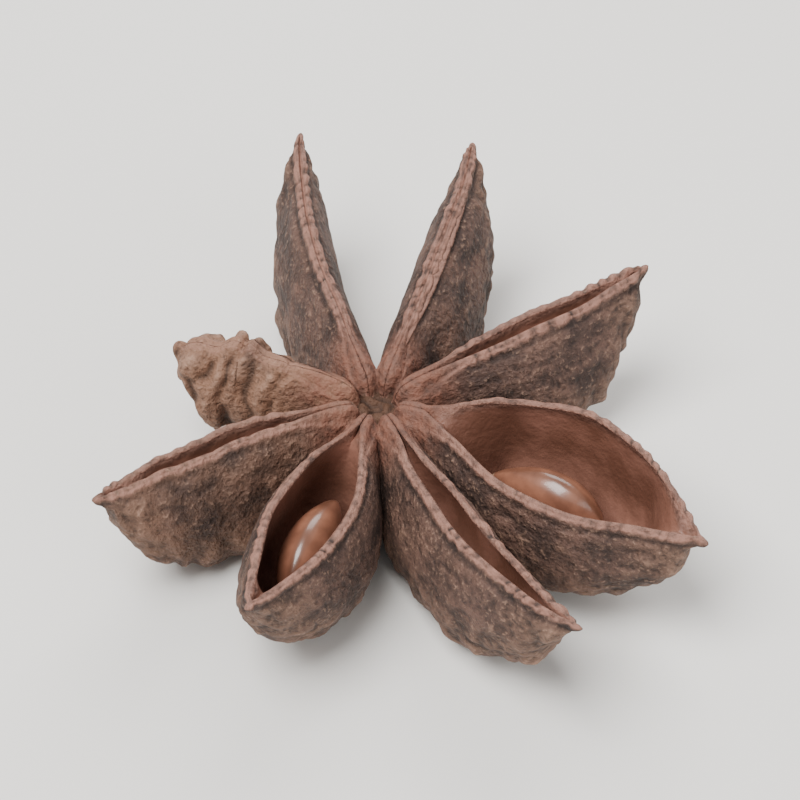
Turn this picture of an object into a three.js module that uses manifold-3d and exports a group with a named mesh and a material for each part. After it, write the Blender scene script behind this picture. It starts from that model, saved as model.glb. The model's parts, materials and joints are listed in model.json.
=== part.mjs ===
// Star anise: the dried, star-shaped fruit, lying on its keels with its seams up.
//
// Eight boat-shaped carpels grow out of a short central column. Each carpel has two
// lips along its top seam, a deep belly, a rounded keel and a short beak. A ripe carpel
// gapes along the seam and shows a smooth chamber with one glossy seed in it.
//
// Millimetres, +Z up. The origin is the middle of the fruit's footprint, on the ground.

import * as THREE from "three";
import { mergeVertices } from "three/addons/utils/BufferGeometryUtils.js";
import Module from "manifold-3d";

// ---- Driving dimensions -------------------------------------------------------

const SEAM_AT_HUB = 6.3; // height of the seams where the carpels meet
const HUB_DIP = 0.8; // how far the seams drop into the pit at the middle
const HUB_DIP_REACH = 2.4; // radius inside which they drop
const ROOT_RADIUS = 0.7; // the carpels start this far from the axis
const ARCH = 0.5; // rise of a seam's middle above the line from hub to beak
const LIFT_CURVE = 1.6; // above 1 the seam's lift comes late, near the beak
const SWAY_CURVE = 3; // the same for its sideways bend

const COLUMN = { radius: 1.15, top: 5.2, bottom: 3.2, rim: 0.25, pit: 0.3 };
const STALK = { radius: 1.0, collar: 1.5, top: 1.9, neck: 1.0, bottom: 0.45, bevel: 0.1 }; // snapped off

// A seam: the thickness of one lip, and the groove between two lips that are closed.
const SEAM = { lip: 0.35, gap: 0.14, groove: 0.4 };
const FUSED_SEAM = { lip: 0.3, gap: 0.05, groove: 0.05 };
const LEAST_GAP = 0.04; // no groove is narrower than this
const GAP_AT_TIP = { from: 0.9, left: 0.15 }; // where a groove narrows, and what is left of it
const GAPE_SPAN = { from: 0.1, to: 0.97, power: 1.1 }; // share of the length that gapes
const CHAMBER_SPAN = { from: 0.17, to: 0.9, fullness: 1.8 }; // share that has a chamber under it
const WIDEST_LIP = 0.7; // of half the body, where the body is thin
const HUB_LIP = 1.0; // the lips widen to this in the middle, where they close over
const HUB_LIP_REACH = 3.6; // radius inside which they widen
const HUB_SHOULDER = { drop: 0.55, from: 2, to: 5, fade: 0.6 }; // lips slope down there

const SIDE_WALL = 0.6; // shell beside the chamber
const KEEL_WALL = 1.1; // shell under the chamber
const SLIT_WIDTH = 2; // how quickly a chamber widens with its depth: a shallow one is a slit
const ROOT_DEPTH = 0.72; // depth at the hub, as a share of the deepest
const DEEPEST = 0.46; // where a carpel is deepest, as a share of its length
const TAPER_FROM = 0.5; // where its sides begin to draw in, as a share of its length
const KEEL_END = 0.6; // power of the keel's rise to the beak: 0.5 is an ellipse
const WEDGE = Math.tan(Math.PI / 8); // half-width per radius where neighbours touch
const WEDGE_SPARE = 0.16; // overlap that fuses neighbours near the hub

// The outer end of a carpel: its share of the length, its depth where it starts and at
// the tip, its girth, how squarely the keel turns up to it, how late the sides taper and
// how sharply they meet (0.5 is round), and the share of the length that is rounded off.
const BEAK = {
  share: 0.06, depth: 0.95, tip: 0.3, girth: 0.9,
  bluntness: 2.6, taper: 2.2, point: 0.65, rounding: 0.025,
};
const WITHERED_END = {
  share: 0.1, depth: 2.4, tip: 2.0, girth: 2.6,
  bluntness: 4, taper: 5, point: 0.5, rounding: 0.17,
};
const TIP_LEFT = 0.44; // size of the last section, which closes the tip
const CLOSER_AT_BEAK = 1.15; // sections stand closer to each other towards the beak

const PEAR = { hang: 0.32, level: 0.6 }; // how low a belly hangs (0: ellipse), and about what level
const LIP_FADE = 3; // how quickly a gaping lip runs into the belly
const BELLY_SHARE = 0.22; // how much of the gape widens the belly

// Height of the folds, distance from one to the next, and the radii where they fade in.
const WRINKLE = { height: 0.2, span: 2.3, from: 4, to: 7 };
const WRINKLE_TURN = { from: 0.5, to: 2.1 }; // they grow round the side, from lip to keel
const HAND_SHIFT = 0.4; // half of how far those on the two sides miss each other
const PLEAT = { height: 0.26, span: 1.7, from: 3, to: 5.5, crest: 0.7 }; // on a withered carpel

const SEED = { length: 5.9, height: 3.8, thickness: 2.4, point: 0.22, lean: 0.7 };
const SEED_CLEARANCE = 0.7; // between a seed and the chamber's floor
const FLAT = -0.14; // stand of a carpel whose keel is pressed flat on the ground

// Anticlockwise from the first. Bearing in degrees from +X, the rest in millimetres:
//   reach   from the axis to the beak        lift    beak above the seams at the hub
//   sway    beak bent sideways               lean    keel set sideways from the seam
//   girth   widest part of the closed body   gape    widest part of the open seam
//   hollow  share of the body's depth that the chamber takes
//   stand   lowest part of the keel          seed    share of the reach where it lies
//   pleats  how strongly it is folded        seam, end  where they aren't the usual ones
const CARPELS = [
  {
    bearing: 24, reach: 14.2, lift: 1.5, sway: 0.9, lean: -0.4,
    girth: 3.9, gape: 0.6, hollow: 0.14, stand: FLAT,
  },
  {
    bearing: 69, reach: 14.7, lift: 1.9, sway: 0.7, lean: -0.6,
    girth: 3.8, gape: 0, hollow: 0, stand: 0.35,
  },
  {
    bearing: 112, reach: 15.4, lift: 1.4, sway: -2.3, lean: 0.3,
    girth: 3.3, gape: 0, hollow: 0, stand: FLAT,
  },
  {
    bearing: 161, reach: 9.9, lift: 0.5, sway: 0.4, lean: -0.4,
    girth: 3.4, gape: 0, hollow: 0, stand: 1.3,
    pleats: 1, seam: FUSED_SEAM, end: WITHERED_END,
  },
  {
    bearing: 206, reach: 14.6, lift: 1.0, sway: 0.8, lean: 0.3,
    girth: 3.7, gape: 0.6, hollow: 0.14, stand: FLAT, pleats: 0.25,
  },
  {
    bearing: 250, reach: 14.9, lift: 1.6, sway: -0.6, lean: -0.2,
    girth: 4.2, gape: 3.0, hollow: 0.84, stand: 0.3, seed: 0.51,
  },
  {
    bearing: 292, reach: 17.0, lift: 1.4, sway: 2.9, lean: 0.2,
    girth: 3.7, gape: 0.95, hollow: 0.4, stand: FLAT,
  },
  {
    bearing: 333, reach: 17.6, lift: 1.0, sway: -1.8, lean: -0.3,
    girth: 4.1, gape: 5.4, hollow: 0.86, stand: 0.15, seed: 0.49,
  },
].map((carpel) => ({ pleats: 0, seam: SEAM, end: BEAK, ...carpel }));

const STATIONS = 21; // sections along a carpel
const MORE_STATIONS = 8; // added where it is folded
const OUTER_STEPS = 9; // facets on one side of a section, lip to keel
const INNER_STEPS = 4; // the same on the chamber's wall
const ROUND_STEPS = 20; // facets round the column and the stalk
const SEED_STEPS = { round: 14, along: 10 };
const GROUND_SLAB = 60; // side of the block that trims the keels flat

// ---- Helpers ------------------------------------------------------------------

const wasm = await Module();
wasm.setup();

const clamp01 = (x) => Math.min(1, Math.max(0, x));
const mix = (a, b, share) => a + (b - a) * share;

/** 0 at from, 1 at to, smooth at both. */
const ease = (x, from, to) => THREE.MathUtils.smoothstep(x, from, to);

/** 0 at both ends of the span from..to, 1 in its middle. */
const bump = (x, from, to, power = 1) => Math.sin(Math.PI * clamp01((x - from) / (to - from))) ** power;

/** A closed three.js geometry as a manifold-3d solid. */
function solidOf(geometry) {
  const bare = new THREE.BufferGeometry().setAttribute("position", geometry.getAttribute("position"));
  const merged = mergeVertices(geometry.index ? bare.setIndex(geometry.index) : bare, 1e-4);
  return new wasm.Manifold(
    new wasm.Mesh({
      numProp: 3,
      vertProperties: merged.getAttribute("position").array,
      triVerts: new Uint32Array(merged.index.array),
    }),
  );
}

/** A manifold-3d solid as a three.js geometry. */
function geometryOf(solid) {
  const { vertProperties, triVerts } = solid.getMesh();
  const geometry = new THREE.BufferGeometry();
  geometry.setAttribute("position", new THREE.BufferAttribute(vertProperties, 3));
  geometry.setIndex(new THREE.BufferAttribute(triVerts, 1));
  geometry.computeVertexNormals();
  return geometry;
}

// ---- One carpel ---------------------------------------------------------------

/** Height of the seam above the ground, at a share of the carpel's length. */
function seamHeight(carpel, along) {
  const radius = mix(ROOT_RADIUS, carpel.reach, along);
  const dip = HUB_DIP * clamp01(1 - radius / HUB_DIP_REACH) ** 2;
  return SEAM_AT_HUB + carpel.lift * along ** LIFT_CURVE + ARCH * Math.sin(Math.PI * along) - dip;
}

/** Sideways bend of the seam, nearly all of it near the beak. */
const swayAt = (carpel, along) => carpel.sway * along ** SWAY_CURVE;

/** Depth from seam to keel. The body ends bluntly, and the beak goes on past it. */
function bodyDepth(carpel, along) {
  const { end } = carpel;
  const deepest = seamHeight(carpel, DEEPEST) - carpel.stand;
  const inner = mix(ROOT_DEPTH, 1, Math.sin((Math.PI / 2) * clamp01(along / DEEPEST)));
  const outward = clamp01((along - DEEPEST) / (1 - end.share - DEEPEST));
  const body = deepest * inner * (1 - outward ** end.bluntness) ** KEEL_END;
  const beak = mix(end.depth, end.tip, clamp01((along - 1 + end.share) / end.share));
  return Math.hypot(body, beak);
}

/** Half the width of the body, before any gape. */
function bodyHalfWidth(carpel, along) {
  const radius = mix(ROOT_RADIUS, carpel.reach, along);
  const wedge = radius * WEDGE + WEDGE_SPARE;
  const { end } = carpel;
  const outward = clamp01((along - TAPER_FROM) / (1 - end.share / 2 - TAPER_FROM));
  const side = (carpel.girth / 2) * (1 - outward ** end.taper) ** end.point;
  const belly = Math.hypot(side, end.girth / 4);
  return (wedge ** -4 + belly ** -4) ** -0.25; // the smaller of the two, blended
}

/** One side of a section: turn 0 is the lip and PI the keel. */
function sideOf(turn, halfWidth, depth, halfGap, fade) {
  const down = (1 - Math.cos(turn)) / 2;
  return {
    side: halfWidth * Math.sin(turn) * (down / PEAR.level) ** PEAR.hang + halfGap * (1 - down) ** fade,
    down: depth * down,
    share: down,
  };
}

/** Wrinkles across the outer wall, none at the lip and deepest at the keel. */
function wrinkle(index, radius, turn) {
  const stretch = 0.5 * Math.sin(0.55 * radius + 1.9 * index) + 1.2 * Math.sin(2.3 * turn + index);
  const wave = (2 * Math.PI * radius) / WRINKLE.span + 2.4 * index + stretch;
  const low = clamp01((turn - WRINKLE_TURN.from) / (WRINKLE_TURN.to - WRINKLE_TURN.from));
  const outward = clamp01((radius - WRINKLE.from) / (WRINKLE.to - WRINKLE.from));
  const folds = 0.6 * Math.sin(wave) + 0.4 * Math.sin(0.62 * wave + 3 * turn);
  return WRINKLE.height * low * outward * folds;
}

/** Height of the uneven folds on a withered carpel: below 0 in a furrow. */
function pleat(carpel, radius, turn, hand) {
  const drift = 0.35 * Math.sin(1.1 * radius) + 0.4 * Math.sin(0.8 * radius + (2 + hand) * turn);
  const fold = 2 * Math.abs(Math.sin(Math.PI * (radius / PLEAT.span + drift))) ** 0.8 - 1;
  const strength = carpel.pleats * ease(radius, PLEAT.from, PLEAT.to);
  return PLEAT.height * strength * fold * (0.75 + 0.25 * Math.sin(1.7 * radius + turn));
}

/** How far the seam is open. */
function gapeOf(carpel, along) {
  const { gap } = carpel.seam;
  const nearTip = clamp01((along - GAP_AT_TIP.from) / (1 - GAP_AT_TIP.from));
  const closed = Math.max(LEAST_GAP, mix(gap, GAP_AT_TIP.left * gap, nearTip));
  return Math.max(closed, carpel.gape * bump(along, GAPE_SPAN.from, GAPE_SPAN.to, GAPE_SPAN.power));
}

/** How fully the chamber is there: 0 at the hub and the beak, 1 in the middle. */
const chamberShare = (along) =>
  clamp01(CHAMBER_SPAN.fullness * bump(along, CHAMBER_SPAN.from, CHAMBER_SPAN.to));

/** Depth from the seam down to the chamber's floor, or to the bottom of the groove. */
function innerDepth(carpel, along) {
  const depth = bodyDepth(carpel, along);
  const groove = carpel.seam.groove * Math.min(1, depth / BEAK.depth) ** 2;
  const floor = Math.min(depth * carpel.hollow, depth - KEEL_WALL);
  return mix(groove, Math.max(groove, floor), chamberShare(along));
}

/** The outline of a section: its outer side from lip to lip, and its inner one. */
function sectionOf(carpel, index, along) {
  const radius = mix(ROOT_RADIUS, carpel.reach, along);
  const gape = gapeOf(carpel, along);
  const share = carpel.hollow ? chamberShare(along) : 0;
  const depth = bodyDepth(carpel, along);
  const half = bodyHalfWidth(carpel, along) + BELLY_SHARE * Math.max(0, gape - SEAM.gap);
  const usualLip = mix(HUB_LIP, carpel.seam.lip, clamp01(radius / HUB_LIP_REACH));
  const lip = Math.min(usualLip, WIDEST_LIP * half);
  const innerHalf = Math.max(0, half - SIDE_WALL) * share * Math.min(1, SLIT_WIDTH * carpel.hollow);
  const innerFade = mix(1, LIP_FADE, share); // a plain groove is a V
  const floor = innerDepth(carpel, along);
  const bend = swayAt(carpel, along);
  const crest = seamHeight(carpel, along) + PLEAT.crest * pleat(carpel, radius, 0, 0);
  const shoulder = HUB_SHOULDER.drop * (1 - ease(radius, HUB_SHOULDER.from, HUB_SHOULDER.to));

  const place = ({ side, down, share: low }, hand, bulge, slope) => {
    const across = hand * (side + bulge) + bend + carpel.lean * low * bump(along, 0, 1);
    const height = crest - down - slope * Math.exp(-down / HUB_SHOULDER.fade);
    return new THREE.Vector3(radius, across, height);
  };
  const outer = [];
  for (let i = 0; i <= 2 * OUTER_STEPS; i++) {
    const hand = i <= OUTER_STEPS ? 1 : -1;
    const turn = (Math.PI * Math.min(i, 2 * OUTER_STEPS - i)) / OUTER_STEPS;
    const fold = pleat(carpel, radius, turn, hand) * Math.sin(turn);
    const bulge = i === OUTER_STEPS ? 0 : fold + wrinkle(index, radius + HAND_SHIFT * hand, turn);
    outer.push(place(sideOf(turn, half, depth, gape / 2 + lip, LIP_FADE), hand, bulge, shoulder));
  }
  const inner = [];
  for (let i = 0; i <= 2 * INNER_STEPS; i++) {
    const hand = i <= INNER_STEPS ? 1 : -1;
    const turn = (Math.PI * Math.min(i, 2 * INNER_STEPS - i)) / INNER_STEPS;
    inner.push(place(sideOf(turn, innerHalf, floor, gape / 2, innerFade), hand, 0, 0));
  }
  const middle = new THREE.Box3().setFromPoints(outer).getCenter(new THREE.Vector3());
  const near = Math.sqrt(1 - TIP_LEFT ** 2) * clamp01(1 - (1 - along) / carpel.end.rounding);
  for (const point of [...outer, ...inner]) point.lerp(middle, 1 - Math.sqrt(1 - near ** 2));
  return { outer, inner };
}

/** Triangles between two rows of points with different counts, both running the same way. */
function zip(firstRow, secondRow, emit) {
  let i = 0;
  let j = 0;
  while (i < firstRow.length - 1 || j < secondRow.length - 1) {
    const stepFirst = (i + 1) / (firstRow.length - 1) <= (j + 1) / (secondRow.length - 1);
    if (stepFirst && i < firstRow.length - 1) {
      emit(firstRow[i], firstRow[i + 1], secondRow[j]);
      i += 1;
    } else {
      emit(firstRow[i], secondRow[j + 1], secondRow[j]);
      j += 1;
    }
  }
}

/** The carpel as a closed skin through its sections, lying along +X. */
function carpelGeometry(carpel, index) {
  const points = [];
  const triangles = [];
  const sections = [];
  const stations = STATIONS + Math.round(MORE_STATIONS * carpel.pleats);
  for (let k = 0; k < stations; k++) {
    const along = Math.sin((Math.PI / 2) * (k / (stations - 1))) ** CLOSER_AT_BEAK;
    const { outer, inner } = sectionOf(carpel, index, along);
    const first = points.length;
    points.push(...outer, ...inner);
    sections.push({
      outer: outer.map((_, i) => first + i),
      inner: inner.map((_, i) => first + outer.length + i),
    });
  }
  for (let k = 0; k + 1 < stations; k++) {
    const loops = [sections[k], sections[k + 1]].map((s) => [...s.outer, ...s.inner.toReversed()]);
    const [near, far] = loops;
    for (let i = 0; i < near.length; i++) {
      const j = (i + 1) % near.length;
      triangles.push(near[i], far[j], near[j], near[i], far[i], far[j]);
    }
  }
  zip(sections[0].outer, sections[0].inner, (a, b, c) => triangles.push(a, b, c));
  zip(sections.at(-1).outer, sections.at(-1).inner, (a, b, c) => triangles.push(a, c, b));
  const geometry = new THREE.BufferGeometry().setFromPoints(points);
  geometry.setIndex(triangles);
  return geometry.rotateZ(THREE.MathUtils.degToRad(carpel.bearing));
}

// ---- Column, stalk and seeds --------------------------------------------------

/** The central column, with a small pit in its top, and the stub of the stalk below. */
function columnGeometry() {
  const profile = [
    [0, STALK.bottom],
    [STALK.radius, STALK.bottom + STALK.bevel],
    [STALK.radius, STALK.neck],
    [STALK.collar, STALK.top],
    [COLUMN.radius, COLUMN.bottom],
    [COLUMN.radius, COLUMN.top - COLUMN.rim],
    [0.7 * COLUMN.radius, COLUMN.top],
    [0, COLUMN.top - COLUMN.pit],
  ].map(([radius, height]) => new THREE.Vector2(radius, height));
  return new THREE.LatheGeometry(profile, ROUND_STEPS).rotateX(Math.PI / 2);
}

/** A flattened egg, pointed towards the hub, standing on its edge along +X. */
function seedGeometry() {
  const seed = new THREE.SphereGeometry(1, SEED_STEPS.round, SEED_STEPS.along).rotateZ(Math.PI / 2);
  const position = seed.getAttribute("position");
  for (let i = 0; i < position.count; i++) {
    const x = position.getX(i);
    const taper = 1 + SEED.point * x - SEED.point * x * x;
    position.setXYZ(
      i,
      (x * SEED.length) / 2,
      (position.getY(i) * taper * SEED.thickness) / 2,
      (position.getZ(i) * taper * SEED.height) / 2,
    );
  }
  return seed;
}

/** Where the seed of a carpel lies: on the chamber's floor, its long side along the keel. */
function placeSeed(mesh, carpel) {
  const along = carpel.seed;
  const radius = mix(ROOT_RADIUS, carpel.reach, along);
  const chamberFloor = seamHeight(carpel, along) - innerDepth(carpel, along);
  const across = swayAt(carpel, along) + SEED.lean * carpel.lean * bump(along, 0, 1);
  const bearing = THREE.MathUtils.degToRad(carpel.bearing);
  mesh.position
    .set(radius, across, chamberFloor + SEED_CLEARANCE + SEED.height / 2)
    .applyAxisAngle(new THREE.Vector3(0, 0, 1), bearing);
  mesh.rotation.z = bearing + Math.atan((SWAY_CURVE * swayAt(carpel, along)) / radius);
}

// ---- The fruit ----------------------------------------------------------------

const podMaterial = new THREE.MeshStandardMaterial({ color: 0x6d4a38, roughness: 0.75, metalness: 0 });
const seedMaterial = new THREE.MeshStandardMaterial({ color: 0x8a5334, roughness: 0.25, metalness: 0 });

function podMesh() {
  const ground = new THREE.BoxGeometry(GROUND_SLAB, GROUND_SLAB, GROUND_SLAB);
  ground.translate(0, 0, -GROUND_SLAB / 2);
  const joined = CARPELS.map((carpel, index) => solidOf(carpelGeometry(carpel, index))).reduce(
    (whole, carpel) => whole.add(carpel),
    solidOf(columnGeometry()),
  );
  const pod = new THREE.Mesh(geometryOf(joined.subtract(solidOf(ground))), podMaterial);
  pod.name = "pod";
  return pod;
}

const fruit = new THREE.Group();
fruit.add(podMesh());
CARPELS.filter((carpel) => carpel.seed).forEach((carpel, index) => {
  const seed = new THREE.Mesh(seedGeometry(), seedMaterial);
  seed.name = `seed_${index + 1}`;
  placeSeed(seed, carpel);
  fruit.add(seed);
});

const middle = new THREE.Box3().setFromObject(fruit).getCenter(new THREE.Vector3());
fruit.position.set(-middle.x, -middle.y, 0);

const starAnise = new THREE.Group();
starAnise.add(fruit);

export default starAnise;
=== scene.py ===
"""Star anise: one dried fruit lying on its keels with its seams up.

The classes measure in millimetres; a mesh becomes metres when it is made. The fruit lies in the
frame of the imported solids: +Z up, the ground at zero, the middle of the footprint at the origin.
"""

import itertools
import json
import logging
import math
from dataclasses import dataclass
from enum import Enum, StrEnum

import bpy
import numpy as np
from bpy.types import Material, Mesh, Node, NodeSocket, NodeTree, Object
from mathutils import Matrix, Vector
from mathutils.kdtree import KDTree

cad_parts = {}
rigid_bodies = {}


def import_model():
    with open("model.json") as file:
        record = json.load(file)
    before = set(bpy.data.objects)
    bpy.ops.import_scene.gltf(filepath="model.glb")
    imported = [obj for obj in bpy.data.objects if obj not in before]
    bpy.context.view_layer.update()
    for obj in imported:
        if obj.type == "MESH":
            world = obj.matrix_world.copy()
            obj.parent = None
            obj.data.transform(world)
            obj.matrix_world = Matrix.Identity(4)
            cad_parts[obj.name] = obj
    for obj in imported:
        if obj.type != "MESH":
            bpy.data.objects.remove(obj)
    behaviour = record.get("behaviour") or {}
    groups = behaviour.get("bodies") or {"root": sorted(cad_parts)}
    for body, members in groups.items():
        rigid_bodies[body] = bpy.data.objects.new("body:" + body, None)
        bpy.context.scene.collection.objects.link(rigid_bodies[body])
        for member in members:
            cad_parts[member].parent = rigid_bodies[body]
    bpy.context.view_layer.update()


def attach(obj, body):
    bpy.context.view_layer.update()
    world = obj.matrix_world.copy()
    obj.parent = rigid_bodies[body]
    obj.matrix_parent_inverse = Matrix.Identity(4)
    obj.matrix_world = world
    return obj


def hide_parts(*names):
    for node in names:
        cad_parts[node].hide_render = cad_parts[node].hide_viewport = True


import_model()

MM = 0.001  # one millimetre in metres
LOG = logging.getLogger("star_anise")

Field = np.ndarray  # a number or a point for each place on a skin
Pair = tuple[float, float]  # mostly where something starts and where it is full
Triple = tuple[float, float, float]


# ---- Small tools ----


def linear(hex_colour: str) -> tuple[float, float, float, float]:
    """Turn an sRGB hex colour, such as "8a5a40", into linear red, green, blue and an alpha of one."""
    parts = [int(hex_colour[i : i + 2], 16) / 255 for i in (0, 2, 4)]
    return *(c / 12.92 if c <= 0.04045 else ((c + 0.055) / 1.055) ** 2.4 for c in parts), 1.0


def add_node(tree: NodeTree, kind: str, settings: dict, links: dict) -> Node:
    """Add a node with its settings and what feeds it.

    Args:
        tree: The node tree to add to.
        kind: The node's type, such as "ShaderNodeMix".
        settings: Property names, or input names or numbers, with their values.
        links: Input names or numbers, with the outputs that feed them.

    Returns:
        The new node.
    """
    node = tree.nodes.new(kind)
    for key, value in settings.items():
        if isinstance(key, str) and hasattr(node, key):
            setattr(node, key, value)
        else:
            node.inputs[key].default_value = value
    for key, source in links.items():
        tree.links.new(source, node.inputs[key])
    return node


def ease(x: Field, low: float, high: float) -> Field:
    """Rise smoothly from 0 at low to 1 at high."""
    share = np.clip((x - low) / (high - low), 0.0, 1.0)
    return share * share * (3 - 2 * share)


def mix(a: Field, b: Field, share: Field) -> Field:
    """Blend from a to b."""
    return a + (b - a) * share


def hump(x: Field, low: float, high: float) -> Field:
    """Rise from 0 at low to 1 in the middle and fall to 0 at high."""
    return np.sin(np.pi * np.clip((x - low) / (high - low), 0, 1))


def around(x: Field, middle: float, width: float) -> Field:
    """Fall from 1 at the middle to almost 0 two widths away."""
    return np.exp(-(((x - middle) / width) ** 2))


def soften(field: Field) -> Field:
    """Average each value with its neighbours, so that no single point stands out.

    Args:
        field: Values on the rows and columns of a skin.

    Returns:
        The softer values.
    """
    wide = np.pad(field, 1, mode="edge")
    rows = wide[1:-1] / 2 + (wide[:-2] + wide[2:]) / 4
    return rows[:, 1:-1] / 2 + (rows[:, :-2] + rows[:, 2:]) / 4


class Grain:
    """A smooth random field through space, the same on every run."""

    cells = 256
    gain = 1.9  # brings the field's peaks to about one

    def __init__(self, seed: int) -> None:
        """Draw the field's lattice.

        Args:
            seed: Chooses the field.
        """
        draw = np.random.default_rng(seed)
        self.order = draw.permutation(self.cells)
        slopes = draw.normal(size=(self.cells, 3))
        self.slopes = slopes / np.linalg.norm(slopes, axis=1, keepdims=True)

    def at(self, place: Field) -> Field:
        """Read the field.

        Args:
            place: Points, the last axis holding x, y and z in lattice cells.

        Returns:
            One value for each point, mostly between -1 and 1.
        """
        cell = np.floor(place).astype(int)
        inside = place - cell
        fade = inside**3 * (inside * (inside * 6 - 15) + 10)
        last = self.cells - 1
        total = np.zeros(place.shape[:-1])
        for corner in itertools.product((0, 1), repeat=3):
            x, y, z = (cell[..., k] + corner[k] for k in range(3))
            pick = self.order[(self.order[(self.order[x & last] + y) & last] + z) & last]
            rise = (self.slopes[pick] * (inside - corner)).sum(-1)
            weight = np.prod(np.where(corner, fade, 1 - fade), axis=-1)
            total += weight * rise
        return total * self.gain


@dataclass(frozen=True)
class Waves:
    """Waves in the random field: their size, where they start, their height and their tint."""

    size: float | Triple
    start: float
    height: float = 1.0
    tint: float = 0.0

    swell_gain = 2.6
    swell_top = 0.77

    def soft(self, grain: Grain, place: Field) -> Field:
        """Read soft waves, as high as they stand."""
        return self.height * grain.at(place / self.size + self.start)

    def swells(self, grain: Grain, place: Field) -> Field:
        """Read rounded swells with narrow furrows between them, from -1 to 1."""
        from_furrow = np.abs(grain.at(place / self.size + self.start))
        return self.swell_gain * np.minimum(from_furrow, self.swell_top) - 1


@dataclass(frozen=True)
class Row:
    """A row of swellings along a carpel: a drift shifts them, and vigour varies their strength."""

    spacing: float
    drift: Waves
    mean: float
    vigour: Waves
    limits: Pair
    height: float
    tint: float
    roundness: float = 1.0
    furrow: float = 1.0

    def swells(self, grain: Grain, place: Field, offset: Field | float = 0.0) -> Field:
        """Read the swellings.

        Args:
            grain: The random field.
            place: Where to read it.
            offset: A shift in shares of the spacing.

        Returns:
            About -1 in a furrow and 1 on a swelling.
        """
        turn = np.pi * (place[..., 0] / self.spacing + self.drift.soft(grain, place) + offset)
        rounded = 2 * np.abs(np.sin(turn)) ** self.roundness - self.furrow
        return rounded * np.clip(self.mean + self.vigour.soft(grain, place), *self.limits)


class Mark(StrEnum):
    """A value kept on each point of a skin, which its finish reads."""

    LIP = "lip"
    CHAMBER = "chamber"
    # Painted shade: darker the further down a chamber a point lies.
    DEEP_SHADE = "deep"
    KEEL = "keel"
    HUB = "hub"
    CORE = "core"
    # Paler on ridges from wear; darker in furrows, grooves and pits as painted shade.
    WEAR_AND_SHADE = "relief"
    TAN = "tan"
    SCAR = "scar"
    EDGE = "edge"


HUSK_MARKS = tuple(mark for mark in Mark if mark not in (Mark.SCAR, Mark.EDGE))


@dataclass(frozen=True)
class Skin:
    """A closed skin: its points in millimetres, its faces and the marks on each point."""

    points: Field
    faces: list[list[int]]
    marks: dict[Mark, Field]

    def make(self, name: str) -> Object:
        """Make a smooth-shaded object of the skin.

        Args:
            name: Name of the object.

        Returns:
            The object, linked into the scene.
        """
        mesh = bpy.data.meshes.new(name)
        mesh.from_pydata((self.points * MM).tolist(), [], self.faces)
        for mark, values in self.marks.items():
            kept = mesh.attributes.new(mark, "FLOAT", "POINT")
            kept.data.foreach_set("value", values.astype(np.float32))
        mesh.shade_smooth()
        mesh.update()
        made = bpy.data.objects.new(name, mesh)
        bpy.context.scene.collection.objects.link(made)
        return made


def tube_faces(rows: int, count: int, inward: bool = False) -> list[list[int]]:
    """Join rings of points into a closed tube with flat ends.

    Args:
        rows: Number of rings.
        count: Points in each ring.
        inward: Whether the rings run the other way round.

    Returns:
        Corner numbers of each face.
    """
    number = np.arange(rows * count).reshape(rows, count)
    following = np.roll(number, -1, axis=1)
    quads = np.stack([number[:-1], following[:-1], following[1:], number[1:]], -1).reshape(-1, 4)
    faces = quads.tolist() + [number[0, ::-1].tolist(), number[-1].tolist()]
    return [face[::-1] for face in faces] if inward else faces


# ---- Wrinkles ----


@dataclass(frozen=True)
class Surface:
    """What the wrinkles do at each point of an outer skin.

    The point moves outward by `move` and lies `from_lip` from the lip's edge, where `beads` swell
    it. The finish reads the rest.
    """

    move: Field
    from_lip: Field
    beads: Field
    lip: Field
    keel: Field
    # tint: paler on ridges from wear, darker in furrows, between beads and in the waist as painted shade
    tint: Field


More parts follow.
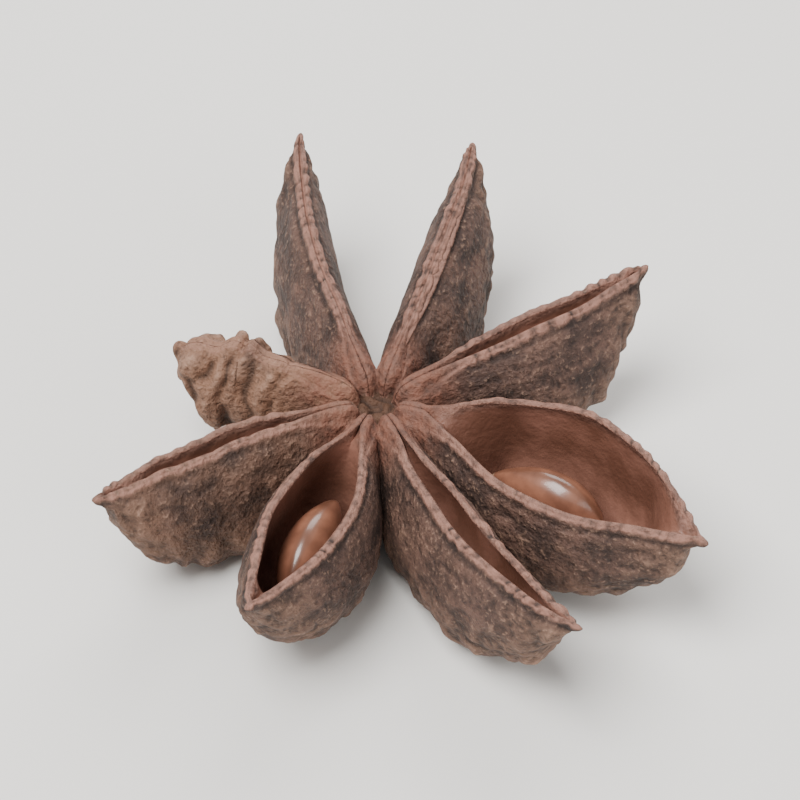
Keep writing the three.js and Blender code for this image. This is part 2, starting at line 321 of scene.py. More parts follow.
@dataclass(frozen=True)
class Relief:
    """The wrinkles of one carpel's skin.

    A sound carpel has folds on its keel, beads along its lips and a waist under them; a crumpled one
    has pleats down its walls instead. Each also tints the skin: paler on ridges, from wear, and
    darker in furrows and in the waist, which is painted shade.
    """

    grain: Grain
    bearing: float
    crumple: float

    # Each kind's size along, across and up the carpel, then its start, height and tint.
    folds: Waves = Waves((1.7, 3.4, 4.2), 23, 0.15, 0.3)
    net: Waves = Waves((0.8, 0.95, 0.95), 37, 0.05, 0.5)
    fine: Waves = Waves(0.46, 51, 0.05, 0.35)
    dents: Waves = Waves(4.4, 67, 0.15)
    creases: Waves = Waves((6.5, 2.8, 0.9), 83, 0.04, 0.35)
    striae: Waves = Waves((5.0, 0.5, 0.5), 97, 0.025, 0.5)
    rucks: Waves = Waves((0.75, 2.8, 3.4), 61, 0.04, 0.4)
    lining: Waves = Waves((2.6, 1.9, 1.9), 91, 0.1)
    sound_net: float = 0.06
    keel_swelling: float = 0.09
    flank_net: float = 0.03
    flank_fine: float = 0.02

    # Each carpel reads its own stretch of the field: a shift per degree of bearing, then a warp.
    shift: Triple = (1.7, 0.9, 0.3)
    warp: Waves = Waves(1.7, 11, 0.45)
    warp_way: Triple = (1.0, -0.6, 0.8)

    # Where each kind lies: ways from the axis and the lip, or shares of the depth or the length.
    hub_span: Pair = (2.6, 5.0)
    keel_span: Pair = (0.3, 0.85)
    tip_span: Pair = (0.72, 0.94)
    tip_share: float = 0.9
    rim: float = 0.1
    rim_reach: float = 0.9
    crumpled_rim: float = 0.2
    flank_span: Pair = (0.2, 1.4)
    lining_span: Pair = (0.05, 0.4)

    # The beads along the lips, the pale edge that they stand on, and the waist under them. Their
    # tints paint shade between the beads and in the waist.
    bead: Row = Row(
        0.66, Waves(1.5, 79, 0.6), 0.75, Waves(1.9, 31, 0.8), (0.1, 1.2), 0.11, 0.6, furrow=1.1
    )
    bead_place: Pair = (0.1, 0.2)
    lip_edge: float = 0.12
    pale_bead: float = 0.5
    withered_loss: float = 0.6
    waist_place: Pair = (0.42, 0.17)
    waist_depth: float = 0.12
    waist_tint: float = 0.6

    # The pleats of a withered wall: offset between its two sides, and shallow at its foot.
    pleat: Row = Row(
        1.35, Waves(2.6, 43, 0.4), 0.9, Waves(1.9, 71, 0.5), (0.6, 1.1), 0.27, 1.6, roundness=0.8
    )
    pleat_offset: float = 0.4
    pleat_crossing: Pair = (0.7, -0.7)
    pleat_shade: float = 0.15
    pleat_cover: float = 0.8
    foot_span: Pair = (0.7, 1.0)
    foot_loss: float = 0.7

    # How the whole section wanders from station to station.
    wander: float = 0.1
    crumpled_wander: float = 0.25
    wander_size: float = 3.2
    crumpled_size: float = 1.2
    wander_span: Pair = (2.5, 5.5)
    wander_starts: Pair = (0.3, 5.7)
    lump_span: Pair = (3.0, 5.5)
    lump_height: float = 0.24

    def place(self, points: Field) -> Field:
        """Find where each point of the carpel reads the random field."""
        moved = points + self.bearing * np.array(self.shift)
        return moved + self.warp.soft(self.grain, moved)[..., None] * self.warp_way

    def pleats(self, points: Field) -> Field:
        """Read the pleats that run down a withered wall, about -1 in a furrow and 1 on a pleat."""
        crossed = self.pleat_offset * ease(points[..., 1], *self.pleat_crossing)
        return self.pleat.swells(self.grain, self.place(points), crossed)

    def drift(self, spine: Field) -> Field:
        """Let the whole section wander a little from station to station.

        Args:
            spine: A point of the seam at each station.

        Returns:
            How far each station moves.
        """
        radius = spine[..., 0]
        reach = (self.wander + self.crumpled_wander * self.crumple) * ease(radius, *self.wander_span)
        scale = self.wander_size - self.crumpled_size * self.crumple
        aside, up = (
            self.grain.at(np.stack(np.broadcast_arrays(radius / scale, self.bearing, start), axis=-1))
            for start in self.wander_starts
        )
        lumps = self.crumple * ease(radius, *self.lump_span) * self.pleats(spine)
        return np.stack([0 * radius, reach * aside, reach * up + self.lump_height * lumps], axis=-1)

    def over(self, skin: Field, down: Field, along: Field) -> Surface:
        """Work out the wrinkles of an outer skin.

        Args:
            skin: The smooth outer skin.
            down: How far down each point is, as a share of the depth.
            along: Station places.

        Returns:
            What the wrinkles do at each point.
        """
        way = np.cumsum(np.linalg.norm(np.diff(skin, axis=1, prepend=skin[:, :1]), axis=-1), axis=1)
        from_lip = np.minimum(way, way[:, -1:] - way)
        past_hub = ease(skin[..., 0], *self.hub_span)
        sound = 1 - self.crumple
        keel = np.maximum(ease(down, *self.keel_span), self.tip_share * ease(along, *self.tip_span))
        keel = np.maximum(keel, self.crumple) * past_hub
        keel = keel * ease(from_lip, self.rim, self.rim_reach - self.crumpled_rim * self.crumple)
        flank = past_hub * ease(from_lip, *self.flank_span)
        at_lip = around(from_lip, *self.bead_place)
        waist = around(from_lip, *self.waist_place) * past_hub * sound

        place = self.place(skin)
        folds, net, fine, creases, striae, rucks = (
            waves.swells(self.grain, place)
            for waves in (self.folds, self.net, self.fine, self.creases, self.striae, self.rucks)
        )
        beads = self.bead.swells(self.grain, place) * past_hub * sound
        foot = 1 - self.foot_loss * ease(down, *self.foot_span)
        pleats = self.crumple * keel * self.pleats(skin) * foot
        rucks = self.crumple * keel * rucks

        on_keel = self.folds.height * sound * folds + (self.net.height + self.sound_net * sound) * net
        move = keel * (on_keel + self.fine.height * fine + self.keel_swelling * sound)
        move += self.pleat.height * pleats + self.rucks.height * rucks
        on_flank = self.dents.soft(self.grain, place) + self.creases.height * creases
        move += flank * (on_flank + self.flank_net * net + self.flank_fine * fine)
        move += self.striae.height * striae * (1 - keel)
        move += self.bead.height * beads * at_lip - self.waist_depth * waist

        # Paler on ridges from wear; darker in furrows, between the beads and in the waist as painted
        # shade.
        tint = keel * (self.folds.tint * folds + self.net.tint * net + self.fine.tint * fine)
        on_flank = (1 - keel) * flank * (self.creases.tint * creases + self.fine.tint * fine)
        tint += on_flank - self.waist_tint * waist
        tint += self.bead.tint * np.minimum(beads, 0) * at_lip
        tint += self.striae.tint * (1 - past_hub) * striae
        withered = self.pleat.tint * pleats + self.rucks.tint * rucks - self.pleat_shade
        tint = mix(tint, withered, self.pleat_cover * self.crumple * past_hub)
        lip = around(from_lip, 0, self.lip_edge) + self.pale_bead * at_lip * np.maximum(beads, 0)
        lip = lip * (1 - self.withered_loss * self.crumple)
        return Surface(soften(move), from_lip, beads, lip, keel, tint)


# ---- The fruit's shape ----


@dataclass(frozen=True)
class SeamForm:
    """Sizes that go with a kind of seam, and how finely its carpel is meshed."""

    lip: float
    crown: float
    gap: float
    groove: float
    flank_steps: int
    wall_steps: int


class Seam(SeamForm, Enum):
    """How a carpel's seam stands."""

    FUSED = (0.3, 0.0, 0.04, 0.04, 50, 2)
    SHUT = (0.21, 0.1, 0.05, 0.2, 48, 4)
    SLIT = (0.34, 0.12, 0.16, 0.45, 43, 10)
    GAPING = (0.36, 0.12, 0.16, 0.45, 41, 13)


@dataclass(frozen=True)
class TipForm:
    """How a carpel ends: the last share of its length, sizes in millimetres, then its curves."""

    share: float
    depth: float
    tip: float
    girth: float
    bluntness: float
    taper: float
    point: float
    rounding: float


class Tip(TipForm, Enum):
    """The end of a carpel."""

    BEAKED = (0.06, 0.95, 0.3, 0.9, 2.6, 2.2, 0.65, 0.025)
    WITHERED = (0.1, 2.4, 2.0, 2.6, 4.0, 5.0, 0.5, 0.17)


@dataclass(frozen=True)
class Build:
    """Sizes that all carpels share, in millimetres or as shares of a carpel's length."""

    # The hub, where the carpels meet.
    hub: Pair = (-1.0716, -0.2498)
    root_radius: float = 0.7
    root_round: float = 0.62
    root_spare: float = 0.02
    root_depth: float = 0.72
    shoulder: float = 0.55
    shoulder_span: Pair = (2.0, 5.0)
    shoulder_depth: float = 0.6
    wedge: float = math.tan(math.pi / 8)
    wedge_spare: float = 0.16

    # The seam's line.
    seam: float = 6.3
    hub_dip: float = 0.8
    hub_dip_reach: float = 2.4
    arch: float = 0.5
    lift_power: float = 1.6
    sway_power: int = 3

    # The body below it.
    deepest: float = 0.46
    widest: float = 0.5
    keel_power: float = 0.6
    belly_at: float = 0.6
    pear: float = 0.32
    belly_share: float = 0.22
    belly_from: float = 0.2

    # The lips and the gape between them.
    hub_lip: float = 1.0
    hub_lip_reach: float = 3.6
    lip_fade: float = 3.0
    lip_share: float = 0.7
    tip_lip: float = 0.45
    bead_crown: float = 0.5
    least_gap: float = 0.04
    tight_span: Pair = (1.8, 4.2)
    beak_from: float = 0.9
    beak_share: float = 0.1
    beak_gap: float = 0.2
    gape_span: Pair = (0.1, 0.97)
    gape_power: float = 1.1
    smooth_tip: float = 0.06
    smooth_crown: float = 0.05

    # The chamber and its walls.
    chamber_span: Pair = (0.17, 0.9)
    chamber_rise: float = 1.8
    shallow_width: float = 2.0
    side_wall: float = 0.6
    least_wall: float = 0.26
    lip_wall: float = 0.6
    keel_wall: float = 1.1

    # How the stations crowd towards the tip, and how nearly the last one closes.
    even_share: float = 0.45
    crowding: float = 1.1
    last_ring: float = 0.0002

    # Where the marks of the finish run in and out, from the axis, the lip or the seam.
    worn_span: Pair = (2.4, 4.4)
    worn_depth: float = 0.27
    tan_span: Pair = (1.9, 4.8)
    tan_reach: Pair = (0.8, 2.4)
    lining_span: Pair = (0.1, 0.5)
    # The painted shade in a chamber deepens over this depth.
    deep_shade_span: Pair = (1.5, 5.5)
    lip_paleness: float = 0.55
    bead_paleness: float = 0.5
    # How dark the painted shade between the beads on the lips is.
    lip_furrow: float = 0.45


BUILD = Build()


@dataclass(frozen=True)
class Carpel:
    """One boat-shaped carpel, lying along +X before it is turned to its bearing.

    Its reach, lift, sway, lean, girth, gape and stand above the ground are in millimetres; the
    chamber is as deep as `hollow`, a share of the body's depth.
    """

    bearing: float
    reach: float
    lift: float
    sway: float
    lean: float
    girth: float
    gape: float
    hollow: float
    stand: float
    seam: Seam
    tip: Tip = Tip.BEAKED
    crumple: float = 0.0
    tan: float = 0.0
    seed: float | None = None
    stations: int = 100
    lip_steps: int = 4

    def radius(self, along: Field) -> Field:
        """Distance from the axis at a share of the carpel's length."""
        return mix(BUILD.root_radius, self.reach, along)

    def seam_height(self, along: Field) -> Field:
        """Height of the seam above the ground."""
        dip = BUILD.hub_dip * np.clip(1 - self.radius(along) / BUILD.hub_dip_reach, 0, 1) ** 2
        return BUILD.seam + self.lift * along**BUILD.lift_power + BUILD.arch * np.sin(np.pi * along) - dip

    def sway_at(self, along: Field) -> Field:
        """Sideways bend of the seam."""
        return self.sway * along**BUILD.sway_power

    def body_depth(self, along: Field) -> Field:
        """Find the depth from the seam to the keel.

        Args:
            along: Station places.

        Returns:
            A depth for each station, greatest in the belly.
        """
        end = self.tip
        deepest = self.seam_height(np.array(BUILD.deepest)) - self.stand
        inner = mix(BUILD.root_depth, 1, np.sin(np.pi / 2 * np.clip(along / BUILD.deepest, 0, 1)))
        outward = np.clip((along - BUILD.deepest) / (1 - end.share - BUILD.deepest), 0, 1)
        body = deepest * inner * (1 - outward**end.bluntness) ** BUILD.keel_power
        return np.hypot(body, mix(end.depth, end.tip, np.clip((along - 1) / end.share + 1, 0, 1)))

    def half_width(self, along: Field) -> Field:
        """Find half the width of the body before any gape.

        Args:
            along: Station places.

        Returns:
            The smaller of the wedge between two neighbours and the belly, blended smoothly.
        """
        wedge = self.radius(along) * BUILD.wedge + BUILD.wedge_spare
        end = self.tip
        outward = np.clip((along - BUILD.widest) / (1 - BUILD.widest - end.share / 2), 0, 1)
        belly = np.hypot(self.girth / 2 * (1 - outward**end.taper) ** end.point, end.girth / 4)
        return (wedge**-4 + belly**-4) ** -0.25

    def gape_at(self, along: Field) -> Field:
        """Find the width of the open seam.

        Args:
            along: Station places.

        Returns:
            A width for each station, tight at the hub and at the beak.
        """
        beak = np.clip((along - BUILD.beak_from) / BUILD.beak_share, 0, 1)
        tight = ease(self.radius(along), *BUILD.tight_span) * mix(1, BUILD.beak_gap, beak)
        closed = np.maximum(BUILD.least_gap, self.seam.gap * tight)
        wide = self.gape * hump(along, *BUILD.gape_span) ** BUILD.gape_power
        return np.maximum(closed, wide) if self.hollow else closed

    def chamber_share(self, along: Field) -> Field:
        """How fully the chamber is there, none in a solid carpel."""
        share = BUILD.chamber_rise * hump(along, *BUILD.chamber_span)
        return np.clip(share, 0, 1) if self.hollow else np.zeros_like(along)

    def inner_depth(self, along: Field) -> Field:
        """Find the depth from the seam to the chamber's floor or to the bottom of the groove.

        Args:
            along: Station places.

        Returns:
            A depth for each station.
        """
        depth = self.body_depth(along)
        groove = self.seam.groove * np.minimum(1, depth / Tip.BEAKED.depth) ** 2
        floor = np.minimum(depth * self.hollow, depth - BUILD.keel_wall)
        return mix(groove, np.maximum(groove, floor), self.chamber_share(along))

    def skin(self, grain: Grain) -> Skin:
        """Build the carpel's closed skin.

        Args:
            grain: Random field for its wrinkles.

        Returns:
            The skin, turned to its bearing about the fruit's axis.
        """
        form, relief = self.seam, Relief(grain, self.bearing, self.crumple)
        even = np.linspace(0, 1, self.stations)
        crowded = np.sin(np.pi / 2 * even) ** BUILD.crowding
        along = (BUILD.even_share * even + (1 - BUILD.even_share) * crowded)[:, None]
        radius, depth, gape = self.radius(along), self.body_depth(along), self.gape_at(along)
        chamber = self.chamber_share(along)
        half = self.half_width(along) + BUILD.belly_share * np.maximum(0, gape - BUILD.belly_from)
        near_hub = np.clip(radius / BUILD.hub_lip_reach, 0, 1)
        lip = np.minimum(mix(BUILD.hub_lip, form.lip, near_hub), BUILD.lip_share * half)
        lip *= mix(1, BUILD.tip_lip, ease(along, BUILD.beak_from, 1))

        outer, down = self._grid(along, form.flank_steps, half, depth, gape / 2 + lip, BUILD.lip_fade)
        at_hub = BUILD.shoulder * (1 - ease(radius, *BUILD.shoulder_span))
        outer[..., 2] -= at_hub * np.exp(-down * depth / BUILD.shoulder_depth)
        room = np.maximum(0, half - BUILD.side_wall) * chamber * min(1, BUILD.shallow_width * self.hollow)
        fade = mix(1, BUILD.lip_fade, chamber)
        bottom = self.inner_depth(along)
        inner, inner_down = self._grid(along, form.wall_steps, room, bottom, gape / 2, fade)
        drift = relief.drift(np.stack([radius, self.sway_at(along), self.seam_height(along)], axis=-1))
        outer, inner = outer + drift, inner + drift
        surface = relief.over(outer, down, along)
        normal = np.cross(np.gradient(outer, axis=0), np.gradient(outer, axis=1))
        normal /= np.maximum(np.linalg.norm(normal, axis=-1, keepdims=True), 1e-9)
        outer = outer + normal * (surface.move * ease(1 - along, 0, BUILD.smooth_tip))[..., None]
        outer[..., 2] = np.maximum(outer[..., 2], 0)
        inner[..., 2] += relief.lining.soft(grain, inner) * ease(inner_down, *relief.lining_span) * chamber
        inner = self._keep_wall(outer, inner)

        right = self._lip_top(outer[:, -1], inner[:, -1], surface.beads[:, -1:], along)
        left = self._lip_top(outer[:, 0], inner[:, 0], surface.beads[:, :1], along)[:, ::-1]
        loop = self._close_ends(np.concatenate([outer, right, inner[:, ::-1], left], axis=1), along)

        marks = self._marks(surface, inner_down * bottom, radius)
        turn = np.array(Matrix.Rotation(math.radians(self.bearing), 3, "Z"))
        points = loop.reshape(-1, 3) @ turn.T + (*BUILD.hub, 0)
        return Skin(points, tube_faces(self.stations, loop.shape[1], inward=True), marks)

    def _grid(
        self, along: Field, steps: int, half: Field, depth: Field, gap: Field, fade: Field | float
    ) -> tuple[Field, Field]:
        """Lay a smooth skin from the left lip down round the keel and up to the right lip.

        Args:
            along: Station places.
            steps: Steps on one side.
            half: Half-width of the belly.
            depth: Depth of the keel.
            gap: Half-width at the lip.
            fade: How quickly the lip runs into the belly.

        Returns:
            The points, and how far down each one is as a share of the depth.
        """
        side = np.linspace(1, -1, 2 * steps + 1)[None, :]
        turn = np.pi * (1 - np.abs(side))
        down = (1 - np.cos(turn)) / 2
        belly = half * np.sin(turn) * (down / BUILD.belly_at) ** BUILD.pear + gap * (1 - down) ** fade
        across = np.sign(side) * belly + self.sway_at(along) + self.lean * down * hump(along, 0, 1)
        height = self.seam_height(along) - depth * down
        reach = np.broadcast_to(self.radius(along), across.shape)
        return np.stack([reach, across, height], axis=-1), np.broadcast_to(down, across.shape)

    def _keep_wall(self, outer: Field, inner: Field) -> Field:
        """Hold the chamber's wall inside the outer skin, so that no dent breaks through.

        Args:
            outer: The wrinkled outer skin.
            inner: The skin of the chamber or of the groove.

        Returns:
            The inner skin, drawn in where the wall would be too thin.
        """
        wall = min(BUILD.least_wall, BUILD.lip_wall * self.seam.lip)
        kept = inner.copy()
        for row, hand in itertools.product(range(len(outer)), (1, -1)):
            out, lining = outer[row, ::hand][: outer.shape[1] // 2], kept[row, ::hand]
            lining = lining[: inner.shape[1] // 2]
            order = np.argsort(out[:, 2])
            limit = np.interp(lining[:, 2], out[order, 2], hand * out[order, 1]) - wall
            lining[:, 1] = hand * np.minimum(hand * lining[:, 1], limit)
        return kept

    def _lip_top(self, edge: Field, seam: Field, bead: Field, along: Field) -> Field:
        """Round the top of a lip over from its outer edge to the seam.

        Args:
            edge: The lip's outer edge.
            seam: The lip's edge at the seam.
            bead: How far the lip swells at each station.
            along: Station places.

        Returns:
            The points between the two edges.
        """
        share = np.linspace(0, 1, self.lip_steps + 2)[1:-1][None, :, None]
        top = mix(edge[:, None], seam[:, None], share)
        over = np.sin(np.pi / 2 * share)
        swell = (1 + BUILD.bead_crown * bead) * ease(1 - along, 0, BUILD.smooth_crown)
        crown = self.seam.crown * swell[..., None] * np.sin(np.pi * share)
        top[..., 2:] = mix(edge[:, None, 2:], seam[:, None, 2:], over) + crown
        return top

    def _close_ends(self, loop: Field, along: Field) -> Field:
        """Draw the sections in to a rounded root at the hub and to a rounded tip.

        Args:
            loop: The points round each station.
            along: Station places.

        Returns:
            The points of the closed skin.
        """
        beak = np.clip(1 - (1 + BUILD.last_ring - along) / self.tip.rounding, 0, 1)
        to_root = BUILD.root_radius + BUILD.root_round - self.radius(along)
        root = np.clip(to_root / (BUILD.root_round + BUILD.root_spare), 0, 1)
        middle = loop.mean(axis=1, keepdims=True)
        return middle + (loop - middle) * np.sqrt(1 - np.maximum(beak, root) ** 2)[..., None]

    def _marks(self, surface: Surface, drop: Field, radius: Field) -> dict[Mark, Field]:
        """Lay the marks out round each loop: outer skin, right lip, lining, left lip.

        Args:
            surface: What the wrinkles do on the outer skin.
            drop: Depth of each inner point below the seam.
            radius: Distance of each station from the axis.

        Returns:
            One value for each point of the loops, by mark.
        """
        bare_skin, rim = np.zeros_like(surface.from_lip), np.zeros((len(radius), self.lip_steps))
        bare_lining, lining = np.zeros_like(drop), ease(drop, *BUILD.lining_span)
        # A solid carpel's groove is painted dark inside, as shade.
        shown, shut_groove_shade = (lining, bare_lining) if self.hollow else (bare_lining, -lining)
        lip_wear_and_shade = (1 - Relief.withered_loss * self.crumple) * ease(radius, *BUILD.worn_span)
        near_hub = 1 - ease(radius, *BUILD.tan_span)
        around_hub = 1 - ease(surface.from_lip, *BUILD.tan_reach)
        beads = [rim + surface.beads[:, [k]] for k in (-1, 0)]
        pale = [lip_wear_and_shade * (BUILD.lip_paleness + BUILD.bead_paleness * bead) for bead in beads]
        # Painted shade between the beads on the tops of the lips.
        furrows = [BUILD.lip_furrow * lip_wear_and_shade * np.minimum(bead, 0) for bead in beads]
        outer_lip = surface.lip * ease(radius, *BUILD.worn_span)
        inner_lip = around(drop, 0, BUILD.worn_depth) * lip_wear_and_shade
        blank = (bare_skin, rim, bare_lining, rim)
        rows = dict.fromkeys(HUSK_MARKS, blank) | {
            Mark.LIP: (outer_lip, pale[0], inner_lip, pale[1]),
            Mark.CHAMBER: (bare_skin, rim, shown, rim),
            # Painted shade: the lining darker towards the chamber's floor.
            Mark.DEEP_SHADE: (bare_skin, rim, ease(drop, *BUILD.deep_shade_span), rim),
            Mark.KEEL: (surface.keel, rim, bare_lining, rim),
            Mark.HUB: tuple(near_hub * part for part in (around_hub, rim + 1, bare_lining + 1, rim + 1)),
            Mark.WEAR_AND_SHADE: (surface.tint, furrows[0], shut_groove_shade, furrows[1]),
            Mark.TAN: tuple(self.tan + part for part in blank),
        }
        return {mark: np.concatenate(parts, axis=1).ravel() for mark, parts in rows.items()}


@dataclass(frozen=True)
class Column:
    """The short column in the middle, with the snapped-off stalk below it."""

    # Radius and height of each bend: the stalk's broken end and its side, the collar where the
    # carpels join, the column's side, its rim and its dished top.
    bends: tuple[Pair, ...] = (
        (0.02, 0.65), (0.55, 0.57), (1.0, 0.45), (1.0, 1.0), (1.5, 1.9),
        (1.15, 3.2), (1.15, 4.9), (0.92, 5.2), (0.5175, 5.15), (0.02, 5.0),
    )
    ring_step: float = 0.13
    steps_round: int = 60

    # The torn ends, the uneven side and where the marks run in.
    pits: Waves = Waves((0.6, 0.6, 1.2), 5, 0.2)
    bulges: Waves = Waves(0.9, 9, 0.05)
    end_span: Pair = (0.85, 1.15)
    half_way: float = 3.0
    stalk_share: float = 0.6
    core_span: Pair = (4.3, 4.8)
    keel_span: Pair = (2.0, 3.0)

    def skin(self, grain: Grain) -> Skin:
        """Build the column's closed skin.

        Args:
            grain: Random field for its broken ends.

        Returns:
            The skin, standing on the fruit's axis.
        """
        rows = []
        for (r0, z0), (r1, z1) in itertools.pairwise(self.bends):
            pieces = round(math.hypot(r1 - r0, z1 - z0) / self.ring_step)
            rows += [(mix(r0, r1, k / pieces), mix(z0, z1, k / pieces)) for k in range(pieces)]
        rows = np.array([*rows, self.bends[-1]])[:, None, :]
        angle = np.linspace(0, 2 * np.pi, self.steps_round, endpoint=False)[None, :]
        radius, height = rows[..., 0], rows[..., 1] + 0 * angle
        points = np.stack([radius * np.cos(angle), radius * np.sin(angle), height], axis=-1)
        pits = self.pits.swells(grain, points)
        torn = np.where(height > self.half_way, 1, self.stalk_share)
        ends = torn * (1 - ease(radius, *self.end_span))
        points[..., 2] += self.pits.height * pits * ends
        bulges = self.bulges.soft(grain, points) * (1 - ends)
        points[..., :2] *= (1 + bulges)[..., None]
        marks = {mark: np.zeros(height.size) for mark in HUSK_MARKS}
        marks[Mark.CORE] = ease(height, *self.core_span).ravel()
        # Paler on swells, darker in furrows: painted shade in the pits of the torn ends.
        marks[Mark.WEAR_AND_SHADE] = pits.ravel()
        marks[Mark.KEEL] = (1 - ease(height, *self.keel_span)).ravel()
        return Skin(points.reshape(-1, 3) + (*BUILD.hub, 0), tube_faces(*height.shape), marks)


@dataclass(frozen=True)
class SeedShape:
    """A flattened glossy seed, pointed towards the hub, with a scar at its point."""

    length: float = 5.9
    height: float = 3.8
    thickness: float = 2.4
    point: float = 0.22
    clearance: float = 0.7
    seat: float = 0.7
    edge_height: float = 0.02
    edge_width: float = 0.03
    scar_width: float = 0.05
    pole: float = 0.03
    steps_round: int = 56
    steps_along: int = 48

    def skin(self, carpel: Carpel) -> Skin:
        """Build the seed where it lies on its chamber's floor, turned along the bend of the seam.

        Args:
            carpel: The carpel whose chamber holds the seed.

        Returns:
            The seed's closed skin.
        """
        turn = np.linspace(self.pole, np.pi - self.pole, self.steps_along + 1)[:, None]
        angle = np.linspace(0, 2 * np.pi, self.steps_round, endpoint=False)[None, :]
        x = -np.cos(turn)
        taper = (1 + self.point * x - self.point * x * x) * np.sin(turn)
        keeled = around(np.abs(np.sin(angle)), 1, self.edge_width)
        across = taper * np.cos(angle) * self.thickness / 2
        up = taper * np.sin(angle) * self.height / 2 * (1 + self.edge_height * keeled)
        body = np.stack([x * self.length / 2 + 0 * across, across, up], axis=-1)

        share = np.array(carpel.seed)
        sway, radius = float(carpel.sway_at(share)), float(carpel.radius(share))
        floor = float(carpel.seam_height(share) - carpel.inner_depth(share))
        aside = sway + self.seat * carpel.lean * float(hump(share, 0, 1))
        bearing = math.radians(carpel.bearing)
        middle = Vector((radius, aside, floor + self.clearance + self.height / 2))
        middle = Matrix.Rotation(bearing, 3, "Z") @ middle + Vector((*BUILD.hub, 0))
        turned = Matrix.Rotation(bearing + math.atan(BUILD.sway_power * sway / radius), 3, "Z")
        points = body.reshape(-1, 3) @ np.array(turned).T + np.array(middle)
        scar = around(x, -1, self.scar_width) + 0 * across
        marks = {Mark.SCAR: scar.ravel(), Mark.EDGE: (0 * x + keeled).ravel()}
        return Skin(points, tube_faces(*across.shape), marks)


# ---- Finishes ----


class Pattern(StrEnum):
    """A random pattern of a finish, from the coarsest to the finest."""

    CLOUD = "cloud"
    BLOTCH = "blotch"
    FLECK = "fleck"
    GRAIN = "grain"


@dataclass(frozen=True)
class Layer:
    """A colour laid over those below it.

    It starts where the value called by `where` passes `low` and is full at `high`. The value called
    by `broken_by` thins it out between `thin` and `thick`.
    """

    colour: str
    where: Mark | Pattern
    low: float
    high: float
    broken_by: Pattern = Pattern.BLOTCH
    thin: float = 0.0
    thick: float = 0.01
    cover: float = 1.0


@dataclass(frozen=True)
class Ramp:
    """A number that runs from `start` to `end` as the value called by `by` goes from 0 to 1."""

    by: Mark | Pattern
    start: float
    end: float


@dataclass(frozen=True)
class Finish:
    """A finish painted in layers.

    Each pattern has its size in millimetres and its detail, and `gloss` holds what is the same all
    over. The bump joins a coarse pattern and a share of the grain.
    """

    name: str
    base: str
    layers: tuple[Layer, ...]
    patterns: tuple[tuple[Pattern, float, float], ...]
    marks: tuple[Mark, ...]
    roughness: Ramp
    bump_mm: float
    bump_rise: Ramp
    gloss: tuple[tuple[str, float], ...]
    coarse: Pattern = Pattern.BLOTCH
    fine_share: float = 0.4

    def material(self) -> Material:
        """Build the finish's material.

        Returns:
            A material that reads the marks kept on the skin.
        """
        made = bpy.data.materials.new(self.name)
        made.use_nodes = True
        tree = made.node_tree
        tree.nodes.clear()
        values = self._values(tree)
        settings = {"operation": "MULTIPLY_ADD", 1: self.fine_share}
        feeds = {0: values[Pattern.GRAIN], 2: values[self.coarse]}
        height = add_node(tree, "ShaderNodeMath", settings, feeds).outputs[0]
        feeds = {"Height": height, "Strength": self._run(tree, self.bump_rise, values)}
        relief = add_node(tree, "ShaderNodeBump", {"Distance": self.bump_mm * MM}, feeds)
        feeds = {
            "Base Color": self._paint(tree, values),
            "Roughness": self._run(tree, self.roughness, values),
            "Normal": relief.outputs[0],
        }
        shader = add_node(tree, "ShaderNodeBsdfPrincipled", dict(self.gloss), feeds)
        add_node(tree, "ShaderNodeOutputMaterial", {}, {"Surface": shader.outputs[0]})
        return made

    def _values(self, tree: NodeTree) -> dict[Mark | Pattern, NodeSocket]:
        """Read the patterns and the marks.

        Args:
            tree: The material's node tree.

        Returns:
            The output that holds each one.
        """
        place = add_node(tree, "ShaderNodeTexCoord", {}, {}).outputs["Object"]
        values = {}
        for pattern, size, detail in self.patterns:
            settings = {"Scale": 1 / (size * MM), "Detail": detail}
            noise = add_node(tree, "ShaderNodeTexNoise", settings, {"Vector": place})
            values[pattern] = noise.outputs["Fac"]
        for mark in self.marks:
            read = add_node(tree, "ShaderNodeAttribute", {"attribute_name": mark.value}, {})
            values[mark] = read.outputs["Fac"]
        return values

    def _paint(self, tree: NodeTree, values: dict) -> NodeSocket:
        """Lay the colours over each other.

        Args:
            tree: The material's node tree.
            values: The output that holds each pattern and mark.

        Returns:
            The output that holds the colour.
        """
        colour = None
        for layer in self.layers:
            spread = {"From Min": layer.thin, "From Max": layer.thick, "To Max": layer.cover}
            cover = add_node(tree, "ShaderNodeMapRange", spread, {"Value": values[layer.broken_by]})
            spread = {"From Min": layer.low, "From Max": layer.high}
            feeds = {"Value": values[layer.where], "To Max": cover.outputs[0]}
            share = add_node(tree, "ShaderNodeMapRange", spread, feeds)
            settings = {"data_type": "RGBA", 6: linear(self.base), 7: linear(layer.colour)}
            feeds = {0: share.outputs[0]} | ({6: colour} if colour else {})
            colour = add_node(tree, "ShaderNodeMix", settings, feeds).outputs[2]
        return colour

    def _run(self, tree: NodeTree, ramp: Ramp, values: dict) -> NodeSocket:
        """Run a number along its ramp."""
        spread = {"To Min": ramp.start, "To Max": ramp.end}
        return add_node(tree, "ShaderNodeMapRange", spread, {"Value": values[ramp.by]}).outputs[0]
